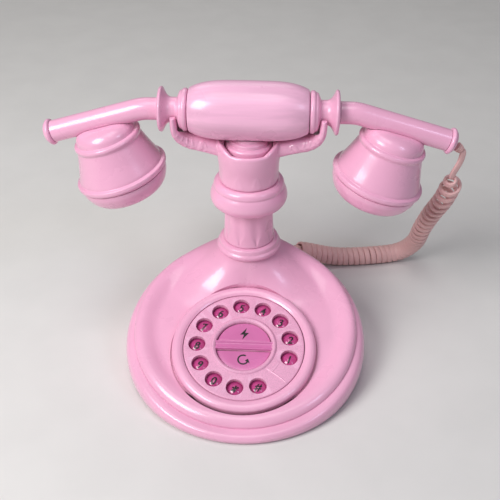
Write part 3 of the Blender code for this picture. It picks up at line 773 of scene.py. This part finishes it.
def jacks():
    """Modular sockets with a moulded lip, a latch notch and gold contact wires."""
    for node, x in (("handset_jack", JACK_X), ("line_jack", -JACK_X)):
        outline = box_outline((x - 6.0, 59.0), (x + 6.0, 74.8))
        body = prism(node + "_shell", outline, 14.0, 26.0, "black")
        tools = [
            prism("tool", box_outline((x - 4.0, 63.0), (x + 4.0, 90.0)), 17.0, 23.4, None),
            prism("tool", box_outline((x - 1.9, 63.0), (x + 1.9, 90.0)), 23.0, 24.9, None),
        ]
        carved(body, tools)
        stands_for(softened(body, 0.3, 60.0, 2), "black_plastic", node)
    for k in range(4):
        wire_x = 1.02 * (k - 1.5) - JACK_X
        rings = []
        for y, z in ((63.0, 22.6), (66.0, 22.2), (69.5, 20.4), (71.6, 18.6), (72.4, 17.4)):
            rings.append([(wire_x + 0.2 * math.cos(TAU * n / 8), y, z + 0.2 * math.sin(TAU * n / 8))
                          for n in range(8)])
        contact = add_mesh(f"line_contact_{k + 1}", *skin(rings), "gold")
        rides_with(contact, node)


# ---- dial --------------------------------------------------------------------------------------
def bezel():
    profile = [(38.2, -0.2), (39.4, 0.7, 1.0), (41.6, 1.3, 1.6), (43.6, 0.8, 1.2), (44.8, -0.3, 0.8),
               (BEZEL_R, -1.6, 0.4), (BEZEL_R, -4.7), (42.6, -4.7), (42.6, -9.0), (40.4, -9.0),
               (40.4, -3.4), (38.2, -3.4)]
    ring = turned("bezel_ring", profile, "shell", DIAL_FRAME, 160, 0.3)
    stands_for(ring, "pink_plastic", "dial_bezel")


def arc(radius, start, end, count):
    """Points along a circle between two angles in degrees."""
    return [(radius * math.cos(math.radians(a)), radius * math.sin(math.radians(a)))
            for a in spread(start, end, count)]


def half_moon(radius, inset, sign, arc_points=40):
    """Half disc outline on one side of the hub bar."""
    start = math.asin(inset / radius)
    return [(radius * math.cos(start + (PI - 2.0 * start) * i / arc_points),
             sign * radius * math.sin(start + (PI - 2.0 * start) * i / arc_points))
            for i in range(arc_points + 1)]


def disc():
    """Number disc with its twelve holes, hub ring, and the two half-moon windows."""
    profile = [(0.0, -2.8), (DISC_R, -2.8), (DISC_R, -0.4, 0.5), (DISC_R - 0.6, 0.1, 0.4),
               (HUB_R + 0.5, 0.1, 0.4), (HUB_R, 0.9, 0.5), (HUB_R - 0.9, 1.35, 0.6),
               (WINDOW_R + 0.2, 0.8, 0.5), (WINDOW_R - 1.0, -0.6), (0.0, -0.6)]
    plate = turned("number_plate", profile, "disc", DIAL_FRAME, 160, 0.3)
    tools = [rod_tool(KEY_HOLE_R, -6.0, 6.0, key_frame(k), 56) for k in range(len(KEYS))]
    for sign in (1.0, -1.0):
        window = half_moon(WINDOW_R - 0.2, BAR_HALF, sign)
        tools.append(prism("tool", window, -6.0, 6.0, None, DIAL_FRAME))
    carved(plate, tools)
    softened(plate, 0.28, 55.0, 3)
    stands_for(plate, "disc_plastic", "number_disc")


def hub_bar():
    """Deep pink bar across the hub, with a raised ridge along each edge."""
    half = BAR_HALF - 0.05
    ridge = [(half, -1.6), (half, 0.7), (half - 0.3, 1.05), (half - 0.9, 1.0), (half - 1.3, 0.35),
             (1.0, 0.2)]
    section = eased([(-y, z) for y, z in ridge] + ridge[::-1], 0.3)
    reach = math.sqrt((WINDOW_R + 0.3) ** 2 - half ** 2)
    rings = [[(x, y, z) for y, z in section] for x in spread(-reach, reach, 25)]
    bar = add_mesh("hub_bar", *skin(rings), "hub", DIAL_FRAME)
    rides_with(bar, "number_disc")


def finger_stop():
    """Low curved rib and a faint stepped sector beside the first key."""
    rings = []
    for t in spread(0.0, 1.0, 24):
        radius = HUB_R + 1.0 + (DISC_R - HUB_R - 2.4) * t
        a = math.radians(-47.0 + 9.0 * t - 5.0 * t * t)
        p = Vector((radius * math.cos(a), radius * math.sin(a), 0.1))
        swell = 0.75 * math.sin(PI * min(0.97, max(0.03, t))) ** 0.35
        turn = Vector((-math.sin(a), math.cos(a), 0.0))
        rings.append([p + turn * (0.75 * swell * math.cos(TAU * k / 14))
                      + Vector((0.0, 0.0, 0.6 * swell * math.sin(TAU * k / 14))) for k in range(14)])
    rib = add_mesh("finger_stop_rib", *skin(rings), "shell", DIAL_FRAME)
    rides_with(rib, "number_disc")
    outline = arc(25.5, -45.0, -25.0, 16) + arc(23.0, -25.0, -45.0, 16)
    step = prism("stop_step", outline, -0.2, 0.32, "disc", DIAL_FRAME)
    rides_with(softened(step, 0.18), "number_disc")


def dome(distance):
    """Height of a key's glossy dome."""
    return -1.2 - 2.1 * min(1.0, distance / (KEY_HOLE_R - 0.4)) ** 2.1


def glyph(name, text, size, offset, height, node, placed):
    """Slanted bold figure laid on a surface of the given height(x, y)."""
    curve = bpy.data.curves.new(name, "FONT")
    curve.body = text
    curve.size = size
    curve.shear = 0.28
    curve.offset = 0.02 * size
    curve.extrude = 0.08
    curve.align_x = "CENTER"
    curve.align_y = "CENTER"
    curve.resolution_u = 8
    helper = bpy.data.objects.new("text_helper", curve)
    bpy.context.scene.collection.objects.link(helper)
    bpy.context.view_layer.update()
    graph = bpy.context.evaluated_depsgraph_get()
    flat = bpy.data.meshes.new_from_object(helper.evaluated_get(graph))
    bpy.data.objects.remove(helper, do_unlink=True)
    fine = bmesh.new()
    fine.from_mesh(flat)
    bmesh.ops.triangulate(fine, faces=fine.faces)
    for _ in range(4):
        long_edges = [e for e in fine.edges if e.calc_length() > 0.5]
        bmesh.ops.subdivide_edges(fine, edges=long_edges, cuts=1)
        bmesh.ops.triangulate(fine, faces=fine.faces)
    fine.to_mesh(flat)
    fine.free()
    low = Vector([min(v.co[k] for v in flat.vertices) for k in range(2)])
    high = Vector([max(v.co[k] for v in flat.vertices) for k in range(2)])
    middle = (low + high) / 2.0
    points = []
    for v in flat.vertices:
        x, y = v.co.x - middle.x + offset[0], v.co.y - middle.y + offset[1]
        points.append((x, y, height(x, y) + 0.09 + v.co.z))
    faces = [tuple(p.vertices) for p in flat.polygons]
    piece = add_mesh(name, points, faces, "ink", placed)
    rides_with(piece, node)


def keys():
    radius = KEY_HOLE_R - 0.4
    for index, (label, text) in enumerate(KEYS):
        node = "key_" + label
        profile = [(0.0, -4.9), (6.1, -4.9), (6.1, -3.5), (radius, -3.4)]
        profile += [(r, dome(r)) for r in spread(radius, 0.0, 14)]
        key = turned(f"key_cap_{label}", profile, "key", key_frame(index), 64, 0.12)
        stands_for(key, "key_plastic", node)
        glyph(f"figure_{label}", text, 6.8 if text != "*" else 9.5, (0.2, -0.5),
              lambda x, y: dome(math.hypot(x, y)), node, key_frame(index))


def hub_keys():
    """Half-moon function keys with a raised lip and a plain symbol instead of words."""
    for node, sign, label in (("flash_key", 1.0, "flash"), ("redial_key", -1.0, "redial")):
        levels = ((-4.9, WINDOW_R + 0.6, BAR_HALF - 1.8), (-3.4, WINDOW_R + 0.6, BAR_HALF - 1.8),
                  (-3.3, WINDOW_R - 0.6, BAR_HALF + 0.4), (-1.6, WINDOW_R - 0.6, BAR_HALF + 0.4),
                  (-1.25, WINDOW_R - 0.75, BAR_HALF + 0.55), (-1.05, WINDOW_R - 1.1, BAR_HALF + 0.9),
                  (-0.98, WINDOW_R - 1.7, BAR_HALF + 1.5), (-1.0, WINDOW_R - 4.5, BAR_HALF + 3.0))
        rings = [[(x, y, z) for x, y in half_moon(r, inset, sign)] for z, r, inset in levels]
        key = add_mesh(f"half_moon_{label}", *skin(rings), "hub", DIAL_FRAME)
        stands_for(key, "key_plastic", node)
    bolt = [(1.0, 3.4), (-2.2, -0.5), (-0.3, -0.5), (-1.0, -3.4), (2.2, 0.6), (0.3, 0.6)]
    bolt = [(x * 1.25, y * 1.25 + 9.2) for x, y in bolt]
    mark = prism("flash_symbol", bolt, -1.1, -0.9, "ink", DIAL_FRAME)
    rides_with(mark, "flash_key")
    tip = math.radians(330.0)
    head = [(r * math.cos(a), r * math.sin(a)) for r, a in ((4.0, tip), (2.6, tip + 0.75), (1.1, tip))]
    arrow = arc(3.0, 60.0, 330.0, 24) + head + arc(2.2, 330.0, 60.0, 24)
    arrow = [(x * 1.2, y * 1.2 - 9.4) for x, y in arrow]
    mark = prism("redial_symbol", arrow, -1.1, -0.9, "ink", DIAL_FRAME)
    rides_with(mark, "redial_key")


# ---- column ------------------------------------------------------------------------------------
def collar():
    profile = [(7.0, 57.3), (20.3, 57.3), (21.0, 58.4, 0.9), (20.9, 60.2, 0.9), (19.7, 61.2, 0.3),
               (19.5, 62.4, 0.4), (19.2, 63.8, 0.7), (17.6, 64.6), (7.0, 64.6)]
    ring = turned("collar_ring", profile, "shell", COLUMN_FRAME, 128, 0.4)
    stands_for(ring, "pink_plastic", "base_collar")


def flute_cut(angle, r, z):
    """Soft tapering flutes that end in points near the foot of the lower column."""
    if r < 12.0:
        return r
    count = 9
    phase = 2.0 * ((angle / TAU * count + 0.25) % 1.0) - 1.0
    width = 0.84 * smooth(65.5, 76.0, z) ** 0.8
    if width < 0.02 or abs(phase) >= width:
        return r
    hollow = 0.5 + 0.5 * math.cos(PI * phase / width)
    return r - 0.65 * hollow * smooth(90.2, 88.6, z)


def lower_column():
    profile = [(7.0, 64.9), (16.6, 64.9), (16.2, 70.0), (15.8, 78.0), (15.5, 90.2), (7.0, 90.2)]
    piece = turned("fluted_column", profile, "shell", COLUMN_FRAME, 288, 0.5, flute_cut, 0.35, 60.0)
    stands_for(piece, "pink_plastic", "column_lower")


def bulge():
    profile = [(3.0, 90.5), (17.0, 90.5), (20.6, 91.0, 1.6), (23.4, 93.0, 1.6), (24.7, 96.2, 1.6),
               (24.4, 99.4, 1.5), (23.2, 102.2, 0.8), (22.2, 103.8, 0.3), (22.5, 105.2, 0.6),
               (21.8, 107.2, 1.0), (19.8, 108.6), (13.0, 108.6), (13.0, 93.0), (3.0, 93.0)]
    stands_for(turned("column_torus", profile, "shell", COLUMN_FRAME, 144, 0.4), "pink_plastic",
               "column_bulge")


def leaf_raise(angle, r, z):
    """Low pointed leaves round the foot of the column cup."""
    if r < 17.0:
        return r
    count = 10
    phase = 2.0 * ((angle / TAU * count + 0.5) % 1.0) - 1.0
    climb = (z - 109.4) / 9.5
    if climb <= 0.0 or climb >= 1.0:
        return r
    half = 0.82 * (1.0 - climb) ** 0.6 * (0.35 + 0.65 * min(1.0, climb * 6.0))
    edge = 1.0 - abs(phase) / max(half, 0.01)
    vein = 0.10 * smooth(0.14, 0.0, abs(phase))
    return r + 0.22 * smooth(0.0, 0.45, edge) - (vein if edge > 0.0 else 0.0)


# arm middle line out from the cup and up to the fork: x, z, half depth, half thickness
ARM_LINE = ((15.8, 130.4, 8.6, 5.2), (22.0, 131.8, 8.0, 5.0), (29.0, 133.6, 7.8, 4.9),
            (35.5, 135.2, 8.2, 4.9), (40.4, 138.2, 9.6, 4.3), (43.4, 142.8, 11.4, 3.4),
            (44.5, 148.0, 12.0, 2.6), (44.8, 153.4, 11.6, 2.2))
ARM_STEPS = 12                     # stations in each span of the arm line
FORK_CLEAR_X = 42.4                # inside this the handset's ring beads need room
BEAD_ROOM_R = 13.3
SADDLE_R = NECK_ROD_R + 0.35


def arm_stations():
    """Catmull-Rom points along the arm line, each with its direction in the XZ plane."""
    rows = [Vector(r) for r in ARM_LINE]
    rows = [2.0 * rows[0] - rows[1]] + rows + [2.0 * rows[-1] - rows[-2]]
    out = []
    for a, b, c, d in zip(rows, rows[1:], rows[2:], rows[3:]):
        for t in spread(0.0, 1.0, ARM_STEPS + 1)[:-1]:
            out.append(0.5 * (2.0 * b + (c - a) * t + (2.0 * a - 5.0 * b + 4.0 * c - d) * t ** 2
                              + (3.0 * b - a - 3.0 * c + d) * t ** 3))
    out.append(rows[-2])
    return out


ARM_STATIONS = arm_stations()
ARM_TREE = kdtree.KDTree(len(ARM_STATIONS))
for number, station in enumerate(ARM_STATIONS):
    ARM_TREE.insert((station[0], 0.0, station[1]), number)
ARM_TREE.balance()


def arm_along(i):
    ahead = ARM_STATIONS[min(i + 1, len(ARM_STATIONS) - 1)]
    behind = ARM_STATIONS[max(i - 1, 0)]
    return Vector((ahead[0] - behind[0], 0.0, ahead[1] - behind[1])).normalized()


def arm_rings(side):
    """Rounded sections square to the arm's middle line."""
    rings = []
    for i, (x, z, half_y, half) in enumerate(ARM_STATIONS):
        along = arm_along(i)
        up = Vector((-along.z, 0.0, along.x))
        ring = []
        for k in range(48):
            a = TAU * k / 48
            c, s = math.cos(a), math.sin(a)
            wide = math.copysign(abs(c) ** 0.72, c) * half_y
            p = Vector((x, wide, z)) + up * (math.copysign(abs(s) ** 0.8, s) * half)
            ring.append((side * p.x, p.y, p.z))
        rings.append(ring)
    return rings


def rim_rings():
    """Column cup and its thin-edged rim, dipping in front between two V-shaped cheeks."""
    rings = []
    for i in range(216):
        a = TAU * i / 216
        top = 132.5 + 4.0 * min(1.0, max(0.0, (abs(math.cos(a)) - 0.54) / 0.36))
        section = [(4.6, 108.9), (18.6, 108.9)]
        for t in spread(0.0, 1.0, 24):
            z = 109.2 + t * (top - 111.0)
            r = 18.5 + 1.5 * smooth(0.2, 0.9, t)
            section.append((leaf_raise(a, r, z), z))
        section += [(19.9, top - 1.2), (19.4, top - 0.3), (18.4, top), (17.2, top - 0.8),
                    (15.4, top - 3.0), (15.4, 112.0), (4.6, 112.0)]
        rings.append([(r * math.cos(a), r * math.sin(a), z) for r, z in section])
    return rings


def yoke():
    """Cast-looking cradle: column cup, two leafed arms, and the open forks they turn up into."""
    body = add_mesh("cradle_yoke", *skin(rim_rings(), True), "shell", COLUMN_FRAME)
    arms = [add_mesh("arm", *skin(arm_rings(side)), None, COLUMN_FRAME) for side in (-1.0, 1.0)]
    carved(body, arms, "UNION")
    clearance = [(0.0, -60.0), (SADDLE_R, -60.0), (SADDLE_R, -FORK_CLEAR_X),
                 (BEAD_ROOM_R, -FORK_CLEAR_X), (BEAD_ROOM_R, FORK_CLEAR_X), (SADDLE_R, FORK_CLEAR_X),
                 (SADDLE_R, 60.0), (0.0, 60.0)]
    carved(body, [turned("tool", clearance, None, handset_frame(1.0), 96, 0.0)])
    remesh = body.modifiers.new("remesh", "REMESH")
    remesh.mode = "VOXEL"
    remesh.voxel_size = 0.4 * MM
    relax = body.modifiers.new("relax", "SMOOTH")
    relax.iterations = 6
    applied(body, 180.0)
    for vertex in body.data.vertices:
        raise_leaf(vertex)
    stands_for(body, "pink_plastic", "cradle", "column_cup")


def raise_leaf(vertex):
    """Acanthus relief on the front and back faces of the arms."""
    x, y, z = (c / MM for c in vertex.co)
    reach = abs(x)
    if reach < 20.0 or abs(vertex.normal.y) < 0.3:
        return
    spot = ARM_TREE.find((reach, 0.0, z))[1]
    along = arm_along(spot)
    middle_x, middle_z, _, half = ARM_STATIONS[spot]
    v = ((z - middle_z) * along.x - (reach - middle_x) * along.z) / half
    s = spot / ARM_STEPS
    fade = smooth(1.0, 1.5, s) * smooth(6.6, 5.6, s) * smooth(1.05, 0.6, abs(v))
    rib = smooth(0.30, 0.08, abs(s - 1.95 + 0.10 * v))
    groove = 0.0
    for lead in (1.45, 2.6, 3.2, 3.9, 4.7):
        line = s - lead - 0.35 * abs(v + 0.1)
        groove = max(groove, smooth(0.17, 0.02, abs(line)) * smooth(0.06, 0.3, abs(v + 0.1)))
    vein = smooth(0.26, 0.04, abs(v + 0.1)) * smooth(2.2, 2.5, s)
    out = (0.40 * rib - 0.34 * groove * (1.0 - rib) - 0.20 * vein * (1.0 - rib)) * fade
    vertex.co.y += math.copysign(out * MM, y - COLUMN_Y)


def plunger():
    profile = [(0.0, 110.4), (3.2, 110.4), (4.0, 111.2), (4.0, 128.6), (11.0, 129.2), (14.6, 129.6),
               (14.6, 132.8, 0.5), (13.6, 133.8, 0.6), (12.2, 134.2, 0.3), (12.0, 136.4, 0.5),
               (10.0, 137.2, 0.4), (9.6, 139.2, 0.4), (0.0, 139.4)]
    button = turned("stepped_plunger", profile, "shell", COLUMN_FRAME, 112, 0.3)
    carved(button, [rod_tool(GRIP_R + 0.4, -30.0, 30.0, handset_frame(1.0), 160)])
    stands_for(button, "pink_plastic", "hook_plunger")


# ---- handset -----------------------------------------------------------------------------------
def barrel():
    line = [(3.6, -GRIP_HALF), (GRIP_END_R - 1.0, -GRIP_HALF)]
    for x in spread(-GRIP_HALF + 0.5, GRIP_HALF - 0.5, 61):
        line.append((GRIP_R - (GRIP_R - GRIP_END_R) * abs(x / GRIP_HALF) ** 4.2, x))
    line += [(GRIP_END_R - 1.0, GRIP_HALF), (3.6, GRIP_HALF)]
    grip = turned("grip", line, "barrel", handset_frame(1.0), 144, 0.4)
    stands_for(grip, "pink_plastic", "grip_barrel")


def neck(side, label):
    profile = [(3.6, 36.3), (12.0, 36.3), (12.8, 37.1, 0.7), (12.8, 38.8, 0.7), (11.8, 39.8, 0.3),
               (11.4, 41.0, 0.5), (9.6, 41.9, 0.5), (NECK_ROD_R, 42.8, 0.6), (NECK_ROD_R, 46.8, 1.4),
               (8.4, 48.8, 1.2), (11.0, 50.4, 1.0), (13.2, 51.4, 0.4), (FLARE_R, 52.2, 0.5),
               (13.0, 53.4, 0.5), (8.0, 54.2), (3.6, 54.2)]
    flare = turned(f"flare_{label}", profile, "shell", handset_frame(side), 112, 0.3)
    stands_for(flare, "pink_plastic", f"neck_{label}")


def tube_axis(side, count):
    """Axis points of a tube arm from the flare out to the end cap."""
    drop = math.tan(TUBE_SLOPE)
    pts = []
    for x in spread(54.5, TUBE_END_X, count):
        past = x - (TUBE_BEND_X - 4.0)
        if past <= 0.0:
            z = 0.0
        elif past < 8.0:
            z = -4.0 * drop * (past / 8.0) ** 2
        else:
            z = -(x - TUBE_BEND_X) * drop
        pts.append(Vector((side * x, COLUMN_Y, GRIP_Z + z)))
    return pts


def sweep_rings(points, radius, segments):
    rings = []
    for i, p in enumerate(points):
        along = (points[min(i + 1, len(points) - 1)] - points[max(i - 1, 0)]).normalized()
        across = Vector((0.0, 1.0, 0.0))
        up = along.cross(across).normalized()
        rings.append([p + across * (radius * math.cos(TAU * k / segments))
                      + up * (radius * math.sin(TAU * k / segments)) for k in range(segments)])
    return rings


def tube(side, label):
    points = tube_axis(side, 56)
    outer = sweep_rings(points, TUBE_R, 72)
    inner = sweep_rings(points, TUBE_BORE, 72)
    piece = add_mesh(f"arm_tube_{label}", *skin(outer + inner[::-1], True), "shell")
    stands_for(piece, "pink_plastic", f"tube_{label}")


def end_cap(side, label):
    profile = [(0.0, 0.3), (7.0, 0.3), (7.9, 0.9, 0.6), (8.2, 1.9, 0.8), (7.8, 2.9, 0.6),
               (6.9, 3.3, 0.2), (6.6, 4.0, 0.4), (5.2, 4.9, 0.8), (0.0, 5.2)]
    cap = turned(f"bead_cap_{label}", profile, "shell", end_frame(side), 80, 0.3)
    stands_for(cap, "pink_plastic", f"end_cap_{label}")


def cup(side, label):
    profile = [(0.0, 2.6), (11.0, 2.6, 2.0), (16.0, 4.2, 2.4), (18.6, 7.6, 2.0), (19.0, 10.6, 0.3),
               (20.8, 11.0, 0.6), (21.5, 12.5, 0.8), (20.8, 14.0, 0.5), (20.5, 14.9, 0.4),
               (21.2, 17.0, 1.2), (23.7, 25.0, 5.0), (26.8, 33.2, 1.0), (27.0, 34.6, 0.3),
               (29.2, 35.3, 0.6), (29.3, 37.6, 0.7), (27.8, 39.2), (25.6, 39.2), (24.4, 33.6),
               (21.4, 24.8), (18.4, 16.4), (16.0, 13.4), (0.0, 13.0)]
    bell = turned(f"bell_{label}", profile, "shell", cup_frame(side), 144, 0.4)
    tool = add_mesh("tool", *skin(sweep_rings(tube_axis(side, 40), TUBE_R + 0.3, 64)), None)
    carved(bell, [tool])
    stands_for(bell, "pink_plastic", f"cup_{label}")


def cup_cap(side, node, holes):
    profile = [(1.4, 49.6), (18.0, 49.6, 0.8), (20.4, 51.0, 1.2), (22.6, 50.8, 1.4), (25.4, 47.8, 2.2),
               (27.6, 42.6, 2.0), (27.8, 39.5, 0.4), (25.4, 39.5), (24.6, 44.0), (21.6, 47.8),
               (1.4, 47.8)]
    cap = turned(f"{node}_shell", profile, "shell", cup_frame(side), 144, 0.3)
    tools = []
    for radius, count in holes:
        for n in range(count):
            a = TAU * (n + 0.3) / count
            spot = cup_frame(side) @ at(radius * math.cos(a), radius * math.sin(a))
            tools.append(rod_tool(1.1, 40.0, 60.0, spot, 20))
    carved(cap, tools)
    stands_for(cap, "pink_plastic", node)


# ---- assembly ----------------------------------------------------------------------------------
def floor():
    size = 4.0
    mesh = bpy.data.meshes.new("floor")
    mesh.from_pydata([(-size, -size, 0.0), (size, -size, 0.0), (size, size, 0.0), (-size, size, 0.0)],
                     [], [(0, 1, 2, 3)])
    obj = bpy.data.objects.new("floor", mesh)
    bpy.context.scene.collection.objects.link(obj)
    pale = (0.72, 0.71, 0.69)
    mesh.materials.append(moulded("pale_table", pale, 0.62, blotch=0.02, edge=0.0, crevice_shade=0.0))


def hidden_parts():
    """Inner pieces that keep their CAD shape."""
    for node, mat in (("bottom_plate", "shell"), ("ballast_plate", "steel"), ("ringer_buzzer", "black"),
                      ("keypad_mat", "silicone"), ("main_board", "board"), ("plunger_spring", "steel"),
                      ("hook_switch", "black"), ("column_bolt", "steel"), ("handset_rod", "steel"),
                      ("receiver_speaker", "black"), ("microphone_capsule", "steel")):
        repaint(node, mat)


camera()
studio()
floor()
hidden_parts()
strain_relief()
handset_cord()
clear_plug()
dish()
skirt()
feet()
screws()
jacks()
bezel()
disc()
hub_bar()
finger_stop()
keys()
hub_keys()
collar()
lower_column()
bulge()
yoke()
plunger()
barrel()
for side, label in ((-1.0, "left"), (1.0, "right")):
    neck(side, label)
    tube(side, label)
    end_cap(side, label)
    cup(side, label)
cup_cap(-1.0, "earpiece_cap", ((5.0, 6), (10.0, 12)))
cup_cap(1.0, "mouthpiece_cap", ((5.0, 6),))
